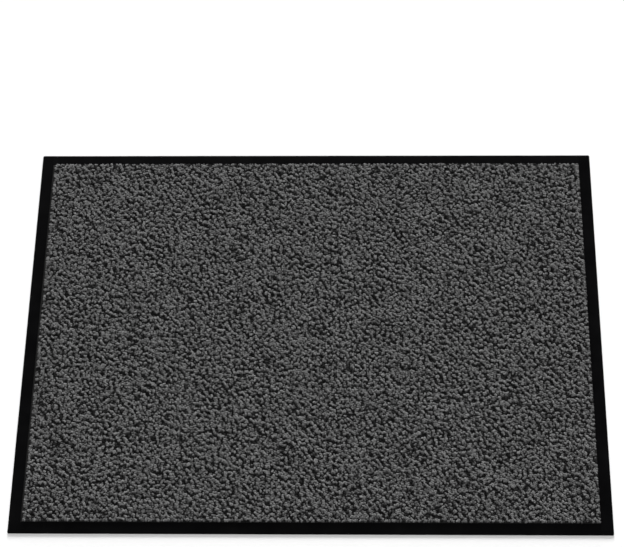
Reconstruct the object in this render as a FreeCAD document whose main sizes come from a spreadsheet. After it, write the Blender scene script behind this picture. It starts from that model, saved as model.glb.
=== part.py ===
"""Door mat with cut, twisted pile on a flexible vinyl backing, framed by four flat vinyl border strips.

Millimetres. +Z is up, +X is the long side, +Y is the back. The origin is the middle of the underside.
From the floor up, the layers are the backing sheet, the border strips with the carpet between them,
and in the carpet the precoat, the primary cloth and the pile. Every layer meets the next face to face.
The two side strips run the full depth of the mat, and the front and back strips butt between them.
"""
import FreeCAD, Part
import os

import Sketcher

SIZES = [
    ("mat_length", 1200.0, "outside length, along X"),
    ("mat_depth", 900.0, "outside depth, along Y"),
    ("corner_radius", 3.0, "outside corners, seen from above"),
    ("backing_thick", 1.4, "vinyl sheet under everything"),
    ("border_width", 24.0, "from the outside edge to the carpet"),
    ("border_rise", 1.5, "strip height above the backing, beside the carpet"),
    ("lip_rise", 0.8, "strip height above the backing, at the outside edge"),
    ("lip_radius", 0.5, "rounding of the strip's outside top edge"),
    ("precoat_thick", 0.5, "latex layer that locks the tufts"),
    ("cloth_thick", 0.5, "woven cloth that the tufts are sewn through"),
    ("pile_height", 5.2, "free pile above the cloth"),
    ("pile_shoulder", 1.5, "rounding of the pile block's top edges"),
]
NEAR = 1e-4  # how close two coordinates are when they are the same place

doc = FreeCAD.newDocument("DoorMat")


def make_sheet():
    """The spreadsheet of driving dimensions: one row each, with its alias on the value."""
    sheet = doc.addObject("Spreadsheet::Sheet", "Sizes")
    for row, (alias, value, note) in enumerate(SIZES, start=1):
        sheet.set(f"A{row}", alias)
        sheet.set(f"B{row}", str(value))
        sheet.set(f"C{row}", note)
        sheet.setAlias(f"B{row}", alias)
    doc.recompute()
    return sheet


def new_body(node, height="0 mm"):
    """An empty body with its node name as the label, its base at a height given as an expression."""
    body = doc.addObject("PartDesign::Body", node)
    body.Label = node
    body.setExpression("Placement.Base.z", height)
    return body


def new_sketch(body, name, role):
    """A sketch on one of the body's own origin planes."""
    sketch = body.newObject("Sketcher::SketchObject", name)
    planes = {plane.Role: plane for plane in body.Origin.OriginFeatures}
    sketch.AttachmentSupport = [(planes[role], "")]
    sketch.MapMode = "FlatFace"
    return sketch


def add_outline(sketch, points):
    """A closed run of lines through the points, with each corner made coincident. Returns the first line's index."""
    first = sketch.GeometryCount
    count = len(points)
    for i, (x, y) in enumerate(points):
        end = points[(i + 1) % count]
        line = Part.LineSegment(FreeCAD.Vector(x, y, 0), FreeCAD.Vector(end[0], end[1], 0))
        sketch.addGeometry(line, False)
    for i in range(count):
        sketch.addConstraint(Sketcher.Constraint("Coincident", first + i, 2, first + (i + 1) % count, 1))
    return first


def hold(sketch, kind, *where, name="", size=""):
    """A constraint. A dimension also gets a name and the expression that drives it."""
    index = sketch.addConstraint(Sketcher.Constraint(kind, *where))
    if name:
        sketch.renameConstraint(index, name)
        sketch.setExpression(f"Constraints.{name}", size)


def rectangle(body, name, length, depth):
    """A sketch of a rectangle centred on the body's origin, sized by two expressions."""
    sketch = new_sketch(body, name, "XY_Plane")
    half = 50.0
    first = add_outline(sketch, [(-half, -half), (half, -half), (half, half), (-half, half)])
    bottom, right, top, left = range(first, first + 4)
    hold(sketch, "Horizontal", bottom)
    hold(sketch, "Horizontal", top)
    hold(sketch, "Vertical", right)
    hold(sketch, "Vertical", left)
    hold(sketch, "Symmetric", bottom, 1, right, 2, -1, 1)
    hold(sketch, "DistanceX", bottom, 1, bottom, 2, 2 * half, name="length", size=length)
    hold(sketch, "DistanceY", right, 1, right, 2, 2 * half, name="depth", size=depth)
    return sketch


def pad(body, sketch, length, midplane=False):
    """Extrudes a sketch by an expression, either upwards from its plane or equally both ways."""
    feature = body.newObject("PartDesign::Pad", f"{body.Name}_pad")
    feature.Profile = sketch
    feature.Midplane = midplane
    feature.setExpression("Length", length)
    doc.recompute()
    return feature


def round_edges(body, base, name, radius, wanted):
    """Fillets the edges of the base feature that the test picks."""
    names = [f"Edge{i}" for i, edge in enumerate(base.Shape.Edges, start=1) if wanted(edge)]
    feature = body.newObject("PartDesign::Fillet", name)
    feature.Base = (base, names)
    feature.setExpression("Radius", radius)
    doc.recompute()
    return feature


def upright(edge):
    """True for a straight edge parallel to Z."""
    box = edge.BoundBox
    return box.XLength < NEAR and box.YLength < NEAR


def at_height(height):
    """A test for the edges that lie wholly at one height."""
    return lambda edge: abs(edge.BoundBox.ZMin - height) < NEAR and abs(edge.BoundBox.ZMax - height) < NEAR


def layer(node, height, thick, length="Sizes.mat_length", depth="Sizes.mat_depth"):
    """A flat layer of the mat: a rectangle padded upwards from a height."""
    body = new_body(node, height)
    sketch = rectangle(body, f"{node}_outline", length, depth)
    return body, pad(body, sketch, thick)


def wedge_profile(body):
    """The strip's cross-section: the carpet side on the Z axis, and the top falling to the outside edge."""
    sketch = new_sketch(body, f"{body.Name}_profile", "XZ_Plane")
    width, rise, lip = 20.0, 2.0, 1.0
    first = add_outline(sketch, [(0, 0), (width, 0), (width, lip), (0, rise)])
    base, outside, inside = first, first + 1, first + 3
    hold(sketch, "Coincident", base, 1, -1, 1)
    hold(sketch, "Horizontal", base)
    hold(sketch, "Vertical", outside)
    hold(sketch, "Vertical", inside)
    hold(sketch, "DistanceX", base, 1, base, 2, width, name="width", size="Sizes.border_width")
    hold(sketch, "DistanceY", outside, 1, outside, 2, lip, name="lip", size="Sizes.lip_rise")
    hold(sketch, "DistanceY", inside, 2, inside, 1, rise, name="rise", size="Sizes.border_rise")
    return sketch


def slope_ends(body):
    """Cuts both ends of a side strip to the slope of the strips that butt against it, so that the lip stays level."""
    sketch = new_sketch(body, f"{body.Name}_end_slopes", "YZ_Plane")
    end, start, rise, lip = 60.0, 40.0, 2.0, 1.0
    for side, word in ((1, "back"), (-1, "front")):
        first = add_outline(sketch, [(side * start, rise), (side * end, lip), (side * end, rise)])
        slope, outside, top = range(first, first + 3)
        hold(sketch, "Vertical", outside)
        hold(sketch, "Horizontal", top)
        ends = (-1, 1, outside, 1) if side > 0 else (outside, 1, -1, 1)
        run = (slope, 1, slope, 2) if side > 0 else (slope, 2, slope, 1)
        hold(sketch, "DistanceX", *ends, end, name=f"{word}_end", size="Sizes.mat_depth / 2")
        hold(sketch, "DistanceX", *run, end - start, name=f"{word}_run", size="Sizes.border_width")
        hold(sketch, "DistanceY", -1, 1, outside, 1, lip, name=f"{word}_lip", size="Sizes.lip_rise")
        hold(sketch, "DistanceY", -1, 1, outside, 2, rise, name=f"{word}_rise", size="Sizes.border_rise")
    cut = body.newObject("PartDesign::Pocket", f"{body.Name}_end_cut")
    cut.Profile = sketch
    cut.Type = "ThroughAll"
    cut.Midplane = True
    doc.recompute()
    return cut


def border_strip(node, run, turn, along, offset):
    """A border strip of a given run. It is modelled as the right-hand strip and turned about Z into its place."""
    body = new_body(node, "Sizes.backing_thick")
    body.Placement.Rotation = FreeCAD.Rotation(FreeCAD.Vector(0, 0, 1), turn)
    body.setExpression(f"Placement.Base.{along}", offset)
    return body, pad(body, wedge_profile(body), run, midplane=True)


def side_strip(node, turn, offset):
    """A left or right strip: full depth, with sloped ends, rounded outside corners and a rounded lip."""
    body, strip = border_strip(node, "Sizes.mat_depth", turn, "x", offset)
    whole = strip.Shape.Volume
    strip = slope_ends(body)
    if strip.Shape.Volume >= whole - NEAR:
        raise RuntimeError(f"{node}: the end slopes cut nothing")
    width = sheet.border_width
    strip = round_edges(
        body, strip, f"{node}_corners", "Sizes.corner_radius",
        lambda edge: upright(edge) and abs(edge.BoundBox.XMin - width) < NEAR,
    )
    round_edges(body, strip, f"{node}_lip", "Sizes.lip_radius", at_height(sheet.lip_rise))


def end_strip(node, turn, offset):
    """A front or back strip: it butts between the side strips and has a rounded lip."""
    body, strip = border_strip(node, "Sizes.mat_length - 2 * Sizes.border_width", turn, "y", offset)
    round_edges(body, strip, f"{node}_lip", "Sizes.lip_radius", at_height(sheet.lip_rise))


def backing_sheet():
    """The vinyl sheet under the whole mat, with rounded corners."""
    body, blank = layer("backing_sheet", "0 mm", "Sizes.backing_thick")
    round_edges(body, blank, "backing_corners", "Sizes.corner_radius", upright)


def carpet():
    """The three layers between the strips: the precoat, the primary cloth and the pile on it."""
    inner = {
        "length": "Sizes.mat_length - 2 * Sizes.border_width",
        "depth": "Sizes.mat_depth - 2 * Sizes.border_width",
    }
    cloth_base = "Sizes.backing_thick + Sizes.precoat_thick"
    layer("precoat", "Sizes.backing_thick", "Sizes.precoat_thick", **inner)
    layer("primary_cloth", cloth_base, "Sizes.cloth_thick", **inner)
    body, block = layer("pile", f"{cloth_base} + Sizes.cloth_thick", "Sizes.pile_height", **inner)
    round_edges(body, block, "pile_shoulders", "Sizes.pile_shoulder", at_height(sheet.pile_height))


def check(bodies):
    """Stops if any object failed to build or any piece isn't one valid solid."""
    for thing in doc.Objects:
        if {"Invalid", "Error"} & set(thing.State):
            raise RuntimeError(f"{thing.Label}: {thing.State}")
    for body in bodies:
        shape = body.Shape
        if shape.isNull() or not shape.isValid() or len(shape.Solids) != 1:
            raise RuntimeError(f"{body.Label}: not one valid solid")


def export(bodies):
    """Writes each piece to its own file, named after its node."""
    os.makedirs("parts", exist_ok=True)
    for body in bodies:
        body.Shape.exportStep(f"parts/{body.Label}.step")
        box = body.Shape.BoundBox
        lows = " ".join(f"{v:.2f}" for v in (box.XMin, box.YMin, box.ZMin))
        highs = " ".join(f"{v:.2f}" for v in (box.XMax, box.YMax, box.ZMax))
        print(f"{body.Label}: {lows} to {highs}, {body.Shape.Volume:.0f} mm3")


sheet = make_sheet()
to_side = "(Sizes.mat_length / 2 - Sizes.border_width)"
to_end = "(Sizes.mat_depth / 2 - Sizes.border_width)"
backing_sheet()
side_strip("border_right", 0, to_side)
side_strip("border_left", 180, f"-{to_side}")
end_strip("border_back", 90, to_end)
end_strip("border_front", -90, f"-{to_end}")
carpet()
doc.recompute()
pieces = [thing for thing in doc.Objects if thing.TypeId == "PartDesign::Body"]
check(pieces)
export(pieces)
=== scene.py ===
"""Door mat: mottled cut pile of two-ply yarn on a flexible vinyl backing, framed by vinyl border strips.

Metres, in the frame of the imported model: +X along the long side, +Y to the back, +Z up, and the origin
under the middle. The vinyl sheet, the four strips and the carrier cloth are modelled in place of their
plain solids. The pile is made of separate tufts: two plies, each grey or black, wound round each other,
cut and splayed at the top.
"""
import math

import bmesh
import bpy
import numpy as np
from mathutils import Matrix, Vector, noise


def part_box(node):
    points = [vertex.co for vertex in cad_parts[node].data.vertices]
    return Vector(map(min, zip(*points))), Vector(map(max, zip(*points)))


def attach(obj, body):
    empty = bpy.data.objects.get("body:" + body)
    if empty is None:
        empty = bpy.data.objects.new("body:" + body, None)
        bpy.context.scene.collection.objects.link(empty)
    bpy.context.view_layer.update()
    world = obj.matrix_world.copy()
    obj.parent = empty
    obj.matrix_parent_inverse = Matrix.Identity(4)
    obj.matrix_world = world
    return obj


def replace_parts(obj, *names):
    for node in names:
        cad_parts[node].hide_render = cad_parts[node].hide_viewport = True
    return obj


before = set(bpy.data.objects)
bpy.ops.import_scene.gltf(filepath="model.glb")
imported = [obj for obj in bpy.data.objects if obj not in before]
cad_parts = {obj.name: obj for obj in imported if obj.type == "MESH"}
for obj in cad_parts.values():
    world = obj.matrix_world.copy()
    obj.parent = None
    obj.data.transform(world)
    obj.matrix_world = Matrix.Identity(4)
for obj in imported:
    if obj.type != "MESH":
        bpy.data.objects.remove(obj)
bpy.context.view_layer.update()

MM = 0.001
UP = Vector((0, 0, 1))
NEAR = 1e-6  # how close two places are when they are the same

# Vinyl
LIP_RISE = 0.8 * MM  # strip height above the backing at the outside edge
LIP_ROUND = 0.45 * MM
CORNER_ROUND = 3 * MM
WELD_GROOVE = 0.25 * MM  # half the width of the fine line where two strips butt
STRIP_STEP = 12 * MM  # between the cuts that let a strip wander
STRIP_SWELLS = 11  # a metre: how often it does
STRIP_TOP = 1.2 * MM  # how far down its top and its rounded lip reach
STRIP_RIPPLE = 0.06 * MM  # how far its top strays, up or down
STRIP_EDGE = 1 * MM  # the width, at its outside edge, that strays sideways
STRIP_STRAY = 0.15 * MM  # how far that strays, in or out
STRIP_TUCK = 0.1 * MM  # how far inside its place that runs, on average
GRIP_DEPTH = 0.25 * MM  # of the grooves between the pads on the underside
GRIP_CELL = 12 * MM  # from groove to groove
GRIP_SLOPE = 0.9 * MM  # from the middle of a groove to the flat of a pad
GRIP_MARGIN = 20 * MM  # plain, round the pads
CORNER_STEPS = 8
LIP_STEPS = 4

# Cloth
CLOTH_CELLS = (96, 72)
CLOTH_THICK = 0.4 * MM
CLOTH_WAVE = 0.1 * MM
CLOTH_SWELLS = 60  # a metre

# Pile
GAUGE = 5.05 * MM  # between rows, which run front to back
STITCH = 5.0 * MM  # between tufts along a row
BANDS = {"grey": 7, "black": 4}  # pieces of each colour, from front to back
PLY_SIDES = 6
PLY_RINGS = ((0.64, 1.0), (0.92, 0.74))  # height and radius, over those of the ply
PLY_RADIUS = 2.3 * MM
PLY_WIND = (1.2, 3.4)  # how far two plies wind round each other, at least and at most, in radians
PLY_THICKS = 0.1  # how much the plies' radii differ, over the radius
PLY_THICK_ENDS = (0.75, 1.25)
PLY_TALLS = 0.035  # how much their heights differ, over the height
CLUMP_TALLS = 0.03  # and how much taller the greyer clumps stand
TALL_ENDS = (-0.12, 0.07)
BLACK_TALL = 0.92  # the black plies' height over the grey ones'
BLACK_SHARE = 0.3  # of all plies
TUFT_MIX = 0.3  # how far a tuft's colour strays from that of its clump, over the spread of the clumps' own
PLY_MIX = 0.6  # and how far a ply's does
JITTER = 0.22  # how far a tuft stands off the even grid, over the grid's step
CLUMPS = 78  # a metre: the tufts lean together, and share a colour, in clumps
CLUMPS_SPREAD = 68  # how much the clumps' sizes differ, in the same unit
NAP_TURN = math.radians(62)  # the way in which the clumps are narrowest, from +X towards +Y
NAP_GRAIN = 0.65  # how narrow they are that way: at 0 they are round
PAIR_TURN = math.radians(-12)  # the way a tuft's two plies fall apart at the top
PAIR_STRAY = math.radians(40)
PAIR_ROOT = 0.6 * MM  # from the middle of the tuft to each ply, at the root
PAIR_OPEN = 0.4 * MM  # what that grows by, evenly up the ply
PAIR_SPLAY = 0.8 * MM  # and what it grows by near the top
ROOT_SINK = 0.15 * MM  # how far the roots reach into the cloth
SETTLE = 0.22  # how much lower a leaning tuft stands, over its lean squared
SETTLE_MOST = 0.8  # the most that its lean squared counts for
# The nearest that a tuft's root, and the middle of its top, come to the left, right, front and back strips
ROOT_INSETS = ((4.2 * MM, 2.4 * MM), (1.9 * MM, 2.2 * MM))
TOP_INSETS = ((8.2 * MM, 4.2 * MM), (4 * MM, 2.4 * MM))
EDGE_REACH = 8 * MM  # how far from the border the tufts stand straighter
EDGE_LEAN = 0.2  # the share of their lean that they keep right beside it
EDGE_STRAY = 0.4 * MM  # how uneven the line of their tops is
LEAN_STRAY = 0.18  # how far single tufts lean, over their height
LEAN_DRIFT = 0.08  # how far whole patches do
LEAN_PATCH = 90 * MM
LEAN_MOST = 0.6
SHADE_DRIFT = 0.1  # how much greyer whole patches are, in the unit of the mixes
SHADE_PATCH = 100 * MM
HUDDLE = 0.2  # how far tufts lean with their clump, over their height
FIBRE_STRETCH = 0.12  # a fibre's width over the length it keeps its tone for
FIBRE_ROUND = 12 * MM  # the width of the fibres' map, once round a ply
FIBRE_LONG = 5 * MM  # its length, from root to tip
FIBRE_WIND = 4 * MM  # how far round the fibres wind over that length
FIBRE_ENDS = 2 * MM  # a ply's radius on the map, on its cut end
CELL_MARGIN = 0.06  # round each ply's cell on the baking map, over the cell
CELL_WIDTH = 0.8  # of the rest, how much the ply fills
SEED = 11


# ---------------------------------------------------------------- shader helpers


def add(tree, kind, inputs=None, **settings):
    """A shader node with its settings. An input is a value or the socket that feeds it."""
    node = tree.nodes.new(kind)
    for name, value in settings.items():
        setattr(node, name, value)
    for name, value in (inputs or {}).items():
        if isinstance(value, bpy.types.NodeSocket):
            tree.links.new(value, node.inputs[name])
        else:
            node.inputs[name].default_value = value
    return node


def maths(tree, operation, *values):
    """The result of a Math node."""
    return add(tree, "ShaderNodeMath", dict(enumerate(values)), operation=operation).outputs[0]


def remap(tree, value, low, high, to_low=0.0, to_high=1.0):
    """A value moved from one range to another, smoothly and without going past the ends."""
    inputs = {"Value": value, "From Min": low, "From Max": high, "To Min": to_low, "To Max": to_high}
    return add(tree, "ShaderNodeMapRange", inputs, interpolation_type="SMOOTHSTEP").outputs["Result"]


def blend_colours(tree, factor, a, b):
    """A colour between two others."""
    return add(tree, "ShaderNodeMix", {0: factor, 6: a, 7: b}, data_type="RGBA").outputs[2]


def grey(level, blue=1.0):
    """A grey, or one whose blue is a little stronger."""
    return (level, level, level * blue, 1.0)


def scaled(colour, share):
    """A lighter or darker version of a colour."""
    return tuple(share * c for c in colour[:3]) + (1.0,)


def speckle(tree, vector, scale, detail=3.0, roughness=0.55):
    """A soft noise from 0 to 1, with so many swells a metre."""
    inputs = {"Vector": vector, "Scale": scale, "Detail": detail, "Roughness": roughness}
    return add(tree, "ShaderNodeTexNoise", inputs).outputs["Fac"]


def new_group(name, inputs, outputs):
    """An empty node group with named float, colour and vector sockets, and its input and output nodes."""
    group = bpy.data.node_groups.new(name, "ShaderNodeTree")
    for side, sockets in (("INPUT", inputs), ("OUTPUT", outputs)):
        for label, kind, value in sockets:
            kind = f"NodeSocket{kind}"
            socket = group.interface.new_socket(name=label, in_out=side, socket_type=kind)
            if value is not None:
                socket.default_value = value
    return group, group.nodes.new("NodeGroupInput").outputs, group.nodes.new("NodeGroupOutput").inputs


def use_group(tree, group, inputs):
    """The outputs of a node group, placed with its own values."""
    return add(tree, "ShaderNodeGroup", inputs, node_tree=group).outputs


def new_material(name):
    """A material, its tree and its Principled BSDF."""
    material = bpy.data.materials.new(name)
    material.use_nodes = True
    tree = material.node_tree
    return material, tree, tree.nodes["Principled BSDF"]


def bump(tree, height, distance, strength=1.0):
    """A normal that follows a height from 0 to 1, which stands for so many metres."""
    inputs = {"Height": height, "Distance": distance, "Strength": strength}
    return add(tree, "ShaderNodeBump", inputs).outputs["Normal"]


# ---------------------------------------------------------------- effects shared by materials


def make_grain():
    """Calendered vinyl: fine pebbles over a slow unevenness. Puts out a height and a roughness."""
    group, given, result = new_group(
        "vinyl grain",
        [("Vector", "Vector", None), ("Pebbles", "Float", 900.0), ("Roughness", "Float", 0.4)],
        [("Height", "Float", None), ("Roughness", "Float", None)],
    )
    pebbles = add(
        group, "ShaderNodeTexVoronoi", {"Vector": given["Vector"], "Scale": given["Pebbles"]},
        feature="SMOOTH_F1",
    ).outputs["Distance"]
    slow = speckle(group, given["Vector"], 45.0, 4.0)
    fine = speckle(group, given["Vector"], 2600.0, 2.0)
    height = maths(group, "MULTIPLY_ADD", fine, 0.35, pebbles)
    group.links.new(height, result["Height"])
    wander = remap(group, slow, 0.3, 0.7, -0.04, 0.05)
    group.links.new(maths(group, "ADD", given["Roughness"], wander), result["Roughness"])
    return group


def make_dust():
    """Light dust and lint that gathers in patches. Puts out the dusted colour and where the dust lies."""
    group, given, result = new_group(
        "dust",
        [
            ("Vector", "Vector", None), ("Colour", "Color", grey(0.01)),
            ("Dust colour", "Color", grey(0.3)), ("Amount", "Float", 0.1),
        ],
        [("Colour", "Color", None), ("Mask", "Float", None)],
    )
    patches = remap(group, speckle(group, given["Vector"], 14.0, 5.0, 0.6), 0.38, 0.72)
    specks = remap(group, speckle(group, given["Vector"], 1500.0, 2.0), 0.6, 0.75)
    both = maths(group, "MULTIPLY_ADD", specks, 0.7, 0.3)
    mask = maths(group, "MULTIPLY", maths(group, "MULTIPLY", patches, both), given["Amount"])
    group.links.new(blend_colours(group, mask, given["Colour"], given["Dust colour"]), result["Colour"])
    group.links.new(mask, result["Mask"])
    return group


def make_fibres():
    """Fine filaments along a yarn, from the yarn's own map in metres: U is round it and V along it."""
    group, given, result = new_group(
        "fibres",
        [("Vector", "Vector", None)],
        [("Streak", "Float", None), ("Height", "Float", None)],
    )
    stretch = {0: given["Vector"], 1: (1, FIBRE_STRETCH, 1)}
    drawn = add(group, "ShaderNodeVectorMath", stretch, operation="MULTIPLY").outputs[0]
    streak = speckle(group, drawn, 5200.0, 2.0)
    clump = speckle(group, drawn, 1700.0, 1.0)
    height = maths(group, "MULTIPLY_ADD", clump, 1.4, streak)
    group.links.new(streak, result["Streak"])
    group.links.new(height, result["Height"])
    return group


GRAIN = make_grain()
DUST = make_dust()
FIBRES = make_fibres()


def object_coordinates(tree):
    """The place on a piece, in metres."""
    return add(tree, "ShaderNodeTexCoord").outputs["Object"]


def vinyl(name, colour, roughness, pebbles, depth, dusting):
    """Black flexible vinyl with its grain, a little dust and fine scuffs."""
    material, tree, shader = new_material(name)
    place = object_coordinates(tree)
    grain = use_group(tree, GRAIN, {"Vector": place, "Pebbles": pebbles, "Roughness": roughness})
    tone = remap(tree, speckle(tree, place, 22.0, 4.0), 0.3, 0.7)
    base = blend_colours(tree, tone, colour, scaled(colour, 0.72))
    dust = use_group(tree, DUST, {"Vector": place, "Colour": base, "Amount": dusting})
    drawn = {"Vector": place, "Rotation": (0, 0, 0.7), "Scale": (1, 0.06, 1)}
    scuff_place = add(tree, "ShaderNodeMapping", drawn).outputs[0]
    scuffs = remap(tree, speckle(tree, scuff_place, 420.0, 3.0), 0.62, 0.72, 0.0, 0.08)
    rough = maths(tree, "ADD", grain["Roughness"], scuffs)
    rough = maths(tree, "MULTIPLY_ADD", dust["Mask"], 0.4, rough)
    tree.links.new(dust["Colour"], shader.inputs["Base Color"])
    tree.links.new(rough, shader.inputs["Roughness"])
    tree.links.new(bump(tree, grain["Height"], depth), shader.inputs["Normal"])
    shader.inputs["Specular IOR Level"].default_value = 0.07
    return material


def yarn(name, colour, spread, sheen):
    """Spun polypropylene: filaments along the ply, a tone that differs from ply to ply with painted light and
    shade across the clumps, and painted shade that darkens each ply towards its root.
    """
    material, tree, shader = new_material(name)
    own = add(tree, "ShaderNodeUVMap", uv_map="yarn").outputs["UV"]
    fibres = use_group(tree, FIBRES, {"Vector": own})
    shade = add(tree, "ShaderNodeAttribute", attribute_name="shade").outputs["Fac"]
    height = add(tree, "ShaderNodeAttribute", attribute_name="rise").outputs["Fac"]
    # painted light and shade, with a tone that differs at random: the shade attribute lightens plies in the
    # middle of the grey clumps and darkens them towards the clumps' edges
    ply = blend_colours(tree, shade, scaled(colour, 1 - spread), scaled(colour, 1 + spread))
    # painted shade: the ply's colour darkens towards its root, low down between the tufts, where shade falls
    root_shaded = blend_colours(tree, remap(tree, height, 0.1, 0.9, 0.75, 0.0), ply, grey(0.006))
    streak = remap(tree, fibres["Streak"], 0.3, 0.7, 0.72, 1.25)
    strand = add(tree, "ShaderNodeVectorMath", {0: root_shaded, 1: streak}, operation="MULTIPLY").outputs[0]
    tree.links.new(strand, shader.inputs["Base Color"])
    rough = remap(tree, fibres["Streak"], 0.2, 0.8, 0.9, 0.7)
    tree.links.new(rough, shader.inputs["Roughness"])
    tree.links.new(bump(tree, fibres["Height"], 0.12 * MM, 0.7), shader.inputs["Normal"])
    shader.inputs["Specular IOR Level"].default_value = 0.1
    shader.inputs["Sheen Weight"].default_value = sheen
    shader.inputs["Sheen Roughness"].default_value = 0.45
    return material


def woven(name, colour, pitch):
    """Plain weave of flat tape yarns, one over and one under, on Object coordinates."""
    material, tree, shader = new_material(name)
    place = object_coordinates(tree)
    counted = add(tree, "ShaderNodeVectorMath", {0: place, 3: 1 / pitch}, operation="SCALE").outputs[0]
    parts = add(tree, "ShaderNodeSeparateXYZ", {"Vector": counted}).outputs
    ridges = []
    for axis in ("X", "Y"):
        wave = maths(tree, "SINE", maths(tree, "MULTIPLY", parts[axis], math.pi))
        ridges.append(maths(tree, "ABSOLUTE", wave))
    over = add(tree, "ShaderNodeTexChecker", {"Vector": counted, "Scale": 1.0}).outputs["Fac"]
    height = add(tree, "ShaderNodeMix", {0: over, 2: ridges[0], 3: ridges[1]}).outputs[0]
    fuzz = speckle(tree, place, 3000.0, 2.0)
    # painted shade: the cloth's colour darkens towards each tape's edge, down between the yarns, where the
    # weave's height falls; the fuzz adds a tone that differs at random
    tone = remap(tree, maths(tree, "MULTIPLY_ADD", fuzz, 0.4, height), 0.1, 1.2, 0.5, 1.2)
    base = add(tree, "ShaderNodeVectorMath", {0: colour[:3], 1: tone}, operation="MULTIPLY").outputs[0]
    tree.links.new(base, shader.inputs["Base Color"])
    tree.links.new(remap(tree, fuzz, 0.2, 0.8, 0.65, 0.9), shader.inputs["Roughness"])
    tree.links.new(bump(tree, height, 0.2 * MM), shader.inputs["Normal"])
    return material


def latex(name, colour):
    """Dried latex: a dull skin with small blisters and a mottled tone."""
    material, tree, shader = new_material(name)
    place = object_coordinates(tree)
    blisters = add(tree, "ShaderNodeTexVoronoi", {"Vector": place, "Scale": 260.0}).outputs["Distance"]
    tone = remap(tree, speckle(tree, place, 60.0, 5.0), 0.3, 0.7)
    base = blend_colours(tree, tone, colour, scaled(colour, 0.6))
    tree.links.new(base, shader.inputs["Base Color"])
    tree.links.new(remap(tree, blisters, 0.0, 0.8, 0.75, 0.55), shader.inputs["Roughness"])
    tree.links.new(bump(tree, blisters, 0.15 * MM), shader.inputs["Normal"])
    return material


# ---------------------------------------------------------------- placing pieces


def finish_piece(name, bm, material, smooth_under=35.0):
    """Makes a piece from a bmesh, smooth but for its edges over an angle in degrees."""
    bmesh.ops.recalc_face_normals(bm, faces=bm.faces)
    mesh = bpy.data.meshes.new(name)
    bm.to_mesh(mesh)
    bm.free()
    mesh.shade_smooth()
    mesh.set_sharp_from_angle(angle=math.radians(smooth_under))
    return place_mesh(name, mesh, material)


def place_mesh(name, mesh, material):
    """Makes an object from a mesh, rides it on the mat and gives it its finish."""
    piece = bpy.data.objects.new(name, mesh)
    bpy.context.scene.collection.objects.link(piece)
    mesh.materials.append(material)
    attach(piece, "root")
    return piece


def block(low, high):
    """A box between two corners."""
    bm = bmesh.new()
    place = Matrix.Translation((low + high) / 2) @ Matrix.Diagonal(high - low).to_4x4()
    bmesh.ops.create_cube(bm, size=1, matrix=place)
    return bm


def slice_at(bm, point, normal):
    """Cuts every face along a plane and keeps both sides."""
    everything = bm.verts[:] + bm.edges[:] + bm.faces[:]
    bmesh.ops.bisect_plane(bm, geom=everything, dist=1e-7, plane_co=point, plane_no=normal)


def bevel(bm, edges, offset, segments):
    """Rounds edges, in so many steps."""
    bmesh.ops.bevel(
        bm, geom=edges, offset=offset, segments=segments, profile=0.5, affect="EDGES", material=-1,
        clamp_overlap=True,
    )


def along(edge, axis):
    """True if the edge runs along one axis: 0, 1 or 2."""
    way = edge.verts[1].co - edge.verts[0].co
    return abs(way[axis]) > 0.999 * way.length


# ---------------------------------------------------------------- vinyl


def drop_slope(bm, top, fall, width, outsides):
    """Lowers the top vertices towards the outside edges: the nearer to one of them, the lower."""
    for vert in bm.verts:
        if vert.co.z > top - NEAR:
            nearest = min(abs(vert.co[axis] - edge) for axis, edge in outsides)
            vert.co.z -= fall * (1 - min(nearest / width, 1))


def wander(bm, low, high, axis, across, edge):
    """Lets a strip's top and its outside edge stray a little, as flexible vinyl does."""
    for vert in bm.verts:
        spot = vert.co * STRIP_SWELLS
        if vert.co.z > high.z - STRIP_TOP:
            vert.co.z += STRIP_RIPPLE * noise.noise(spot * 2)
        if abs(vert.co[across] - edge) < STRIP_EDGE:
            vert.co[across] += STRIP_STRAY * noise.noise(spot + Vector((axis, 3, 7)))
            vert.co[across] -= math.copysign(STRIP_TUCK, edge)


def border_strip(node, material):
    """A strip of the border: wedge section, rounded lip and corners, and a fine groove where it butts."""
    low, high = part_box(node)
    axis = 0 if high.x - low.x > high.y - low.y else 1
    across = 1 - axis
    width = high[across] - low[across]
    edge = low[across] if low[across] < 0 else high[across]
    inner = high[across] if edge < 0 else low[across]
    side = axis == 1
    bm = block(low, high)
    outsides = [(across, edge)]
    if side:
        for end in (low.y, high.y):
            outsides.append((1, end))
            to_corner = Vector((edge - inner, math.copysign(width, end), 0))
            slice_at(bm, Vector((edge, end, 0)), to_corner.cross(UP))
    drop_slope(bm, high.z, high.z - low.z - LIP_RISE, width, outsides)
    if side:
        corners = [e for e in bm.edges if along(e, 2) and abs(e.verts[0].co.x - edge) < NEAR]
        bevel(bm, corners, CORNER_ROUND, CORNER_STEPS)
    bevel(bm, [e for e in bm.edges if is_lip(e, low.z + LIP_RISE, outsides)], LIP_ROUND, LIP_STEPS)
    butts = [e for e in bm.edges if is_butt(e, side, low, high, inner)]
    bevel(bm, butts, WELD_GROOVE, 2)
    steps = round((high[axis] - low[axis]) / STRIP_STEP)
    lengthwise = Vector((axis == 0, axis == 1, 0))
    for i in range(1, steps):
        slice_at(bm, lengthwise * (low[axis] + (high[axis] - low[axis]) * i / steps), lengthwise)
    wander(bm, low, high, axis, across, edge)
    return finish_piece(node + "_strip", bm, material)


def is_lip(edge, height, outsides):
    """True for a top edge along the mat's outside, its rounded corners included."""
    if any(abs(vert.co.z - height) > NEAR for vert in edge.verts) or len(edge.link_faces) != 2:
        return False
    middle = (edge.verts[0].co + edge.verts[1].co) / 2
    return min(abs(middle[axis] - place) for axis, place in outsides) < CORNER_ROUND


def is_butt(edge, side, low, high, inner):
    """True for a top edge where a side strip meets an end strip."""
    a, b = (v.co for v in edge.verts)
    if min(a.z, b.z) < low.z + 0.5 * LIP_RISE or along(edge, 2):
        return False
    ends = (inner,) if side else (low.x, high.x)
    return any(abs(a.x - end) < NEAR and abs(b.x - end) < NEAR for end in ends)


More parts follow.
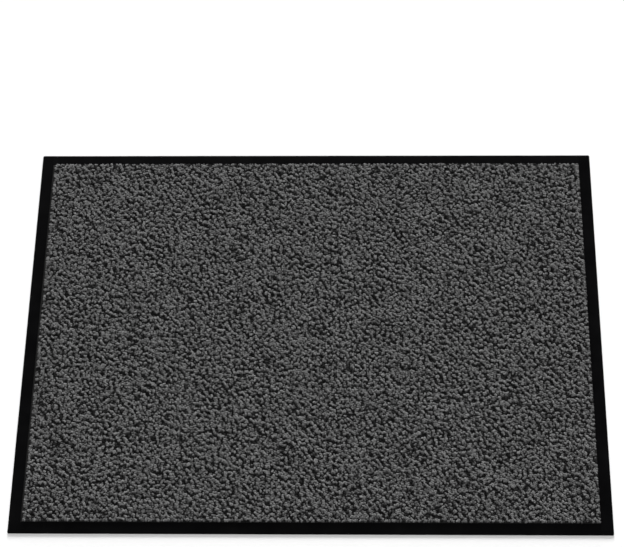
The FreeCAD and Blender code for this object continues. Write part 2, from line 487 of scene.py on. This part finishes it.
def backing(node, material):
    """The vinyl sheet: rounded corners, and square grip pads on its underside with grooves between them."""
    low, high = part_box(node)
    bm = block(low, high)
    under = min(bm.faces, key=lambda f: f.calc_center_median().z)
    bmesh.ops.inset_region(bm, faces=[under], thickness=GRIP_MARGIN)
    for axis in (0, 1):
        count = round((high[axis] - low[axis] - 2 * GRIP_MARGIN) / GRIP_CELL)
        lines = [e for e in bm.edges if along(e, axis) and any(in_pads(f, low, high) for f in e.link_faces)]
        bmesh.ops.subdivide_edges(bm, edges=lines, cuts=count - 1)
    pads = [f for f in bm.faces if in_pads(f, low, high)]
    inner = set(pads)
    grooves = [v for v in bm.verts if v.link_faces and inner.issuperset(v.link_faces)]
    bmesh.ops.inset_individual(bm, faces=pads, thickness=GRIP_SLOPE)
    for vert in grooves:
        vert.co.z += GRIP_DEPTH
    corners = [e for e in bm.edges if along(e, 2) and e.calc_length() > 0.5 * (high.z - low.z)]
    bevel(bm, corners, CORNER_ROUND, CORNER_STEPS)
    return finish_piece("backing_vinyl", bm, material, smooth_under=12.0)


def in_pads(face, low, high):
    """True for a face of the underside inside the plain margin."""
    middle = face.calc_center_median()
    inset = GRIP_MARGIN * 0.99
    inside = all(low[i] + inset < middle[i] < high[i] - inset for i in (0, 1))
    return inside and middle.z < low.z + NEAR and face.normal.z < -0.9


# ---------------------------------------------------------------- cloth and pile


def carrier_cloth(node, material):
    """The woven cloth that carries the tufts, very slightly uneven."""
    low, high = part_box(node)
    size = high - low
    bm = bmesh.new()
    bmesh.ops.create_grid(bm, x_segments=CLOTH_CELLS[0], y_segments=CLOTH_CELLS[1], size=0.5)
    place = Matrix.Translation((low + high) / 2) @ Matrix.Diagonal((size.x, size.y, 1, 1))
    bmesh.ops.transform(bm, matrix=place, verts=bm.verts)
    for vert in bm.verts:
        vert.co.z = high.z - CLOTH_WAVE + CLOTH_WAVE * noise.noise(vert.co * CLOTH_SWELLS)
    piece = finish_piece("carrier_cloth", bm, material, smooth_under=60.0)
    thicken = piece.modifiers.new("thickness", "SOLIDIFY")
    thicken.thickness = CLOTH_THICK
    thicken.offset = -1
    return piece


def ply_template():
    """One cut ply, 1 tall and 1 in radius: it widens from its root, is rounded over at the top and closed."""
    bm = bmesh.new()
    bmesh.ops.create_circle(bm, segments=PLY_SIDES, radius=PLY_RINGS[0][1])
    bmesh.ops.translate(bm, vec=UP * PLY_RINGS[0][0], verts=bm.verts)
    edges = bm.edges[:]
    for height, radius in PLY_RINGS[1:] + ((1.0, 1e-3),):
        grown = bmesh.ops.extrude_edge_only(bm, edges=edges)["geom"]
        verts = [v for v in grown if isinstance(v, bmesh.types.BMVert)]
        edges = [e for e in grown if isinstance(e, bmesh.types.BMEdge)]
        for vert in verts:
            vert.co = Vector((vert.co.x, vert.co.y, 0)).normalized() * radius + UP * height
    bmesh.ops.pointmerge(bm, verts=verts, merge_co=UP)
    root = bmesh.ops.extrude_edge_only(bm, edges=[e for e in bm.edges if e.is_boundary])["geom"]
    bmesh.ops.pointmerge(bm, verts=[v for v in root if isinstance(v, bmesh.types.BMVert)], merge_co=Vector())
    bmesh.ops.recalc_face_normals(bm, faces=bm.faces)
    bmesh.ops.triangulate(bm, faces=bm.faces)
    bm.verts.index_update()
    return bm


def corners_of(bm):
    """Per corner of the template: its vertex, its place round the ply, and whether it is on the cut end."""
    for face in bm.faces:
        turns = {}
        for loop in face.loops:
            if loop.vert.co.xy.length > 0.01:
                turns[loop.vert] = math.atan2(loop.vert.co.y, loop.vert.co.x) / math.tau % 1
        if max(turns.values()) - min(turns.values()) > 0.5:
            turns = {vert: turn + (turn < 0.5) for vert, turn in turns.items()}
        middle = sum(turns.values()) / len(turns)
        cut = min(loop.vert.co.z for loop in face.loops) > PLY_RINGS[-1][0] - NEAR
        for loop in face.loops:
            yield loop.vert, turns.get(loop.vert, middle), cut


def unrolled(bm):
    """The template unrolled into a square, with most room for the top: round it, and from root to tip."""
    heights = [0, *(height for height, _ in PLY_RINGS), 1]
    spread = np.linspace(0, 1, len(heights))
    return np.array([(turn, np.interp(vert.co.z, heights, spread)) for vert, turn, _ in corners_of(bm)])


def fibre_map(bm):
    """The template's map for the fibres, in metres: they wind up its side, and end in dots on the cut end."""
    spots = []
    for vert, turn, cut in corners_of(bm):
        if cut:
            spots.append((vert.co.x * FIBRE_ENDS, vert.co.y * FIBRE_ENDS / FIBRE_STRETCH))
        else:
            spots.append((turn * FIBRE_ROUND + vert.co.z * FIBRE_WIND, vert.co.z * FIBRE_LONG))
    return np.array(spots)


def clump_field(rng, shape, steps):
    """A random field of clumps on the grid of tufts, and its slopes across and along the rows.

    The clumps are a little longer one way than the other, as in a nap that was rolled up and laid out again.
    """
    across, row_wise = np.meshgrid(*(np.fft.fftfreq(n, step) for n, step in zip(shape, steps)), indexing="ij")
    often = np.hypot(across, row_wise)
    strength = np.exp(-(((often - CLUMPS) / CLUMPS_SPREAD) ** 2))
    strength *= np.sqrt(1 + NAP_GRAIN * np.cos(2 * (np.arctan2(row_wise, across) - NAP_TURN)))
    mix = np.fft.fft2(rng.normal(0, 1, shape)) * strength
    made = [np.fft.ifft2(mix * factor).real.ravel() for factor in (1, 1j * across, 1j * row_wise)]
    return [field / field.std() for field in made]


def waves(rng, x, y, length, count=40):
    """A smooth random field of about unit spread, with swells of roughly one length."""
    field = np.zeros_like(x)
    for _ in range(count):
        way, phase = rng.uniform(0, math.tau, 2)
        k = math.tau / (length * rng.uniform(0.75, 1.35))
        field += np.cos(k * (x * math.cos(way) + y * math.sin(way)) + phase)
    return field / math.sqrt(count / 2)


def tuft_roots(rng, low, size, shape):
    """Where the tufts are sewn: staggered rows, none of them quite even, clear of the border."""
    row, stitch = (a.ravel() for a in np.meshgrid(*(np.arange(n) for n in shape), indexing="ij"))
    stagger = (0, 0.5 * (row % 2) - 0.25)
    roots = []
    for axis, (place, step) in enumerate(((row, GAUGE), (stitch, STITCH))):
        near, far = ROOT_INSETS[axis]
        even = low[axis] + near + place / (shape[axis] - 1) * (size[axis] - near - far)
        stray = stagger[axis] + rng.uniform(-JITTER, JITTER, len(row))
        roots.append((even + stray * step).clip(low[axis] + near, low[axis] + size[axis] - far))
    return roots


def tuft_leans(rng, low, high, x, y, huddle):
    """How far each tuft leans across and along the rows, over its height, and less near the border."""
    size = high - low
    count = len(x)
    lean = rng.normal(0, LEAN_STRAY, (count, 2)) + HUDDLE * np.stack(huddle, 1)
    lean += LEAN_DRIFT * np.stack([waves(rng, x, y, LEAN_PATCH), waves(rng, x, y, LEAN_PATCH)], 1)
    lean = lean.clip(-LEAN_MOST, LEAN_MOST)
    for axis, place in enumerate((x, y)):
        nearest = np.minimum(place - low[axis], high[axis] - place)
        lean[:, axis] *= (nearest / EDGE_REACH).clip(EDGE_LEAN, 1)
        stray = rng.uniform(-EDGE_STRAY, EDGE_STRAY, (2, count))
        top = place + lean[:, axis] * size.z
        near, far = TOP_INSETS[axis]
        top = top.clip(low[axis] + near + stray[0], high[axis] - far + stray[1])
        lean[:, axis] = (top - place) / size.z
    return lean


def tuft_field():
    """Where every tuft stands, and how it leans, is turned and is coloured, by tuft or by ply and tuft."""
    low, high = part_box("pile")
    size = high - low
    rng = np.random.default_rng(SEED)
    shape = (round(size.x / GAUGE), round(size.y / STITCH))
    count = shape[0] * shape[1]
    x, y = tuft_roots(rng, low, size, shape)
    clump, *huddle = clump_field(rng, shape, (size.x / shape[0], size.y / shape[1]))
    lean = tuft_leans(rng, low, high, x, y, huddle)
    greyness = clump + TUFT_MIX * rng.normal(0, 1, count) + SHADE_DRIFT * waves(rng, x, y, SHADE_PATCH)
    greyness = greyness + PLY_MIX * rng.normal(0, 1, (2, count))
    rank = greyness.ravel().argsort().argsort().reshape(2, count) / greyness.size
    black = rank < BLACK_SHARE
    return {
        "x": x, "y": y, "lean": lean, "black": black,
        "turn": PAIR_TURN + rng.normal(0, PAIR_STRAY, count),
        "wind": rng.uniform(*PLY_WIND, count),
        "tall": 1 + (rng.normal(0, PLY_TALLS, (2, count)) + CLUMP_TALLS * clump).clip(*TALL_ENDS),
        "thick": rng.normal(1, PLY_THICKS, (2, count)).clip(*PLY_THICK_ENDS),
        # shade: a tone that differs from ply to ply and, through the clumps, painted light and shade: grey
        # plies are lighter in the middle of the grey clumps and darker towards their edges, black plies
        # darker in the middle of the black clumps
        "shade": np.where(black, rank / BLACK_SHARE, (rank - BLACK_SHARE) / (1 - BLACK_SHARE)),
        "depth": (y - low.y) / size.y,
        "offset": rng.uniform(0, 1, (2, count, 2)),
    }


def plies(tufts, which, chosen, black, shape):
    """The chosen plies' vertices, bent from the template, each with its shade and its height up the ply."""
    low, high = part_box("pile")
    up = shape[:, 2][None, :]
    height = (high.z - low.z) * (BLACK_TALL if black else 1.0) * tufts["tall"][which, chosen]
    radius = (PLY_RADIUS * tufts["thick"][which, chosen])[:, None]
    angle = (tufts["turn"][chosen] + math.pi * which)[:, None] + tufts["wind"][chosen][:, None] * (up - 1)
    gap = PAIR_ROOT + PAIR_OPEN * up + PAIR_SPLAY * up**3
    lean = tufts["lean"][chosen]
    bend = height[:, None] * up**1.5
    turned = angle + np.arctan2(shape[:, 1], shape[:, 0])[None, :]
    across = radius * np.hypot(shape[:, 0], shape[:, 1])[None, :]
    x = tufts["x"][chosen][:, None] + gap * np.cos(angle) + lean[:, :1] * bend + across * np.cos(turned)
    y = tufts["y"][chosen][:, None] + gap * np.sin(angle) + lean[:, 1:] * bend + across * np.sin(turned)
    settle = 1 - SETTLE * (lean**2).sum(1).clip(0, SETTLE_MOST)
    z = low.z - ROOT_SINK + (height * settle)[:, None] * up
    shade = np.repeat(tufts["shade"][which, chosen], len(shape))
    return np.stack([x, y, z], 2).reshape(-1, 3), shade, np.tile(shape[:, 2], len(chosen))


def write_map(mesh, name, spots):
    """Adds a UV map, with a spot for each corner of the mesh."""
    layer = mesh.uv_layers.new(name=name, do_init=False)
    layer.uv.foreach_set("vector", spots.astype(np.float32).ravel())


def pile_band(name, tufts, share, black, template, material):
    """A piece of the pile: the plies of one colour in a band of tufts, between two shares of the depth."""
    shape = np.array([v.co for v in template.verts])
    faces = np.array([[v.index for v in f.verts] for f in template.faces])
    here = (tufts["depth"] >= share[0]) & (tufts["depth"] < share[1])
    which, chosen = np.nonzero((tufts["black"] == black) & here)
    points, shade, rise = plies(tufts, which, chosen, black, shape)
    copies = len(chosen)
    corners = (np.arange(copies)[:, None, None] * len(shape) + faces[None]).reshape(-1)
    mesh = bpy.data.meshes.new(name)
    mesh.vertices.add(len(points))
    mesh.vertices.foreach_set("co", points.astype(np.float32).ravel())
    mesh.loops.add(len(corners))
    mesh.loops.foreach_set("vertex_index", corners.astype(np.int32))
    mesh.polygons.add(len(corners) // 3)
    mesh.polygons.foreach_set("loop_start", np.arange(0, len(corners), 3, dtype=np.int32))
    for label, values in (("shade", shade), ("rise", rise)):
        mesh.attributes.new(label, "FLOAT", "POINT").data.foreach_set("value", values.astype(np.float32))
    mesh.update(calc_edges=True)
    mesh.shade_smooth()
    write_map(mesh, "yarn", fibre_map(template)[None] + tufts["offset"][which, chosen][:, None, :])
    cells = math.ceil(math.sqrt(copies))
    cell = np.stack([np.arange(copies) % cells, np.arange(copies) // cells], 1)[:, None, :]
    unrolled_ply = (1 - 2 * CELL_MARGIN) * unrolled(template)[None] * (CELL_WIDTH, 1)
    write_map(mesh, "OFBake", (cell + CELL_MARGIN + unrolled_ply) / cells)
    mesh.uv_layers.active = mesh.uv_layers["yarn"]
    mesh.validate()
    return place_mesh(name, mesh, material)


def pile():
    """The whole pile, in bands from front to back, the grey plies and the black plies apart."""
    template = ply_template()
    tufts = tuft_field()
    colours = {
        "grey": yarn("grey yarn", grey(0.107), spread=0.55, sheen=0.1),
        "black": yarn("black yarn", grey(0.017), spread=0.55, sheen=0.0),
    }
    made = []
    for word, material in colours.items():
        for i in range(BANDS[word]):
            share = (i / BANDS[word], (i + 1) / BANDS[word])
            name = f"pile_{word}_{i + 1}"
            made.append(pile_band(name, tufts, share, word == "black", template, material))
    template.free()
    return made


# ---------------------------------------------------------------- stage


def floor():
    """A plain white floor, just under the mat."""
    bm = bmesh.new()
    bmesh.ops.create_grid(bm, x_segments=1, y_segments=1, size=40)
    bmesh.ops.translate(bm, vec=(0, 0, -0.1 * MM), verts=bm.verts)
    mesh = bpy.data.meshes.new("floor")
    bm.to_mesh(mesh)
    bm.free()
    ground = bpy.data.objects.new("floor", mesh)
    bpy.context.scene.collection.objects.link(ground)
    material, _, shader = new_material("floor")
    shader.inputs["Base Color"].default_value = grey(0.9)
    shader.inputs["Roughness"].default_value = 0.9
    shader.inputs["Specular IOR Level"].default_value = 0.1
    mesh.materials.append(material)


def direction(azimuth, elevation):
    """A unit vector from an azimuth, counted from +Y towards +X, and an elevation, in degrees."""
    a = math.radians(azimuth)
    e = math.radians(elevation)
    return Vector((math.sin(a) * math.cos(e), math.cos(a) * math.cos(e), math.sin(e)))


def sun(name, azimuth, elevation, strength, softness):
    """A distant lamp that shines from an azimuth and an elevation."""
    lamp = bpy.data.lights.new(name, "SUN")
    lamp.energy = strength
    lamp.angle = math.radians(softness)
    thing = bpy.data.objects.new(name, lamp)
    thing.rotation_euler = direction(azimuth, elevation).to_track_quat("Z", "Y").to_euler()
    thing.visible_glossy = False
    bpy.context.scene.collection.objects.link(thing)


def surround():
    """A pale studio: bright near the horizon and dimmer overhead."""
    world = bpy.data.worlds.new("studio")
    bpy.context.scene.world = world
    world.use_nodes = True
    tree = world.node_tree
    way = add(tree, "ShaderNodeTexCoord").outputs["Generated"]
    height = add(tree, "ShaderNodeSeparateXYZ", {"Vector": way}).outputs["Z"]
    level = remap(tree, height, low=0.05, high=0.5, to_low=1.0, to_high=0.2)
    background = tree.nodes["Background"]
    tree.links.new(level, background.inputs["Color"])
    background.inputs["Strength"].default_value = 1.0


def camera():
    """A long lens from the front, well above the mat."""
    ahead = direction(azimuth=-3.009, elevation=-59.285)
    roll = math.radians(-2.584)
    target = Vector((-0.0033, 0.15015, 0))
    distance = 4.384
    focal_share = 3.306  # focal length over the picture's width
    data = bpy.data.cameras.new("camera")
    data.sensor_width = 36
    data.lens = focal_share * data.sensor_width
    data.clip_end = 200
    eye = bpy.data.objects.new("camera", data)
    turn = ahead.to_track_quat("-Z", "Y") @ Matrix.Rotation(roll, 3, "Z").to_quaternion()
    eye.matrix_world = Matrix.Translation(target - ahead * distance) @ turn.to_matrix().to_4x4()
    bpy.context.scene.collection.objects.link(eye)
    bpy.context.scene.camera = eye


# ---------------------------------------------------------------- the mat

bpy.context.scene.view_settings.view_transform = "Standard"
camera()
floor()
surround()
sun("back light", azimuth=0, elevation=13, strength=7.4, softness=20)
sun("top light", azimuth=180, elevation=65, strength=1.25, softness=50)

border_vinyl = vinyl(
    "border vinyl", grey(0.0018, blue=1.15), roughness=0.36, pebbles=900.0, depth=0.02 * MM, dusting=0.012,
)
backing_black = vinyl(
    "backing vinyl", grey(0.006, blue=1.05), roughness=0.6, pebbles=500.0, depth=0.05 * MM, dusting=0.08,
)
for node in ("border_left", "border_right", "border_front", "border_back"):
    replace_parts(border_strip(node, border_vinyl), node)
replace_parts(backing("backing_sheet", backing_black), "backing_sheet")
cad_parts["precoat"].material_slots[0].material = latex("latex", grey(0.12))
pile_pieces = pile()
for piece in pile_pieces:
    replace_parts(piece, "pile")
cloth = carrier_cloth("primary_cloth", woven("carrier cloth", grey(0.008), pitch=1.2 * MM))
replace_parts(cloth, "primary_cloth")
